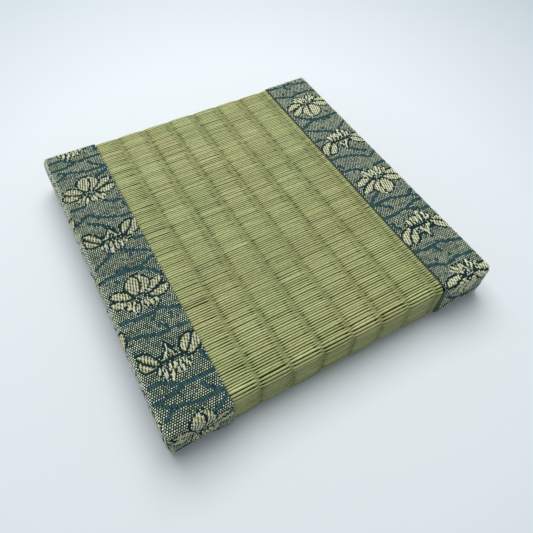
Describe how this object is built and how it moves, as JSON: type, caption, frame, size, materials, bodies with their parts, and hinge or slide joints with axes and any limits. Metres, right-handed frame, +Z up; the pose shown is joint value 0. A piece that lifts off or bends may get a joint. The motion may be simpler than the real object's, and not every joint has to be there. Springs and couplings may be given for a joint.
{
  "type": "tatami mat",
  "caption": "Small square tatami mat: a thick board faced with woven rush, its left and right edges bound in folded brocade strips.",
  "frame": {"origin": "under the middle of the mat, on the surface it lies on", "axes": "+X across the mat from the left border to the right border, -Y the front edge, +Z up"},
  "size_m": [0.1578, 0.1616, 0.021],
  "materials": {
    "woven_rush": "matt, dry rush",
    "border_brocade": "matt brocade"
  },
  "bodies": {
    "root": {"mat_body": "woven_rush", "border_left": "border_brocade", "border_right": "border_brocade"}
  },
  "joints": []
}
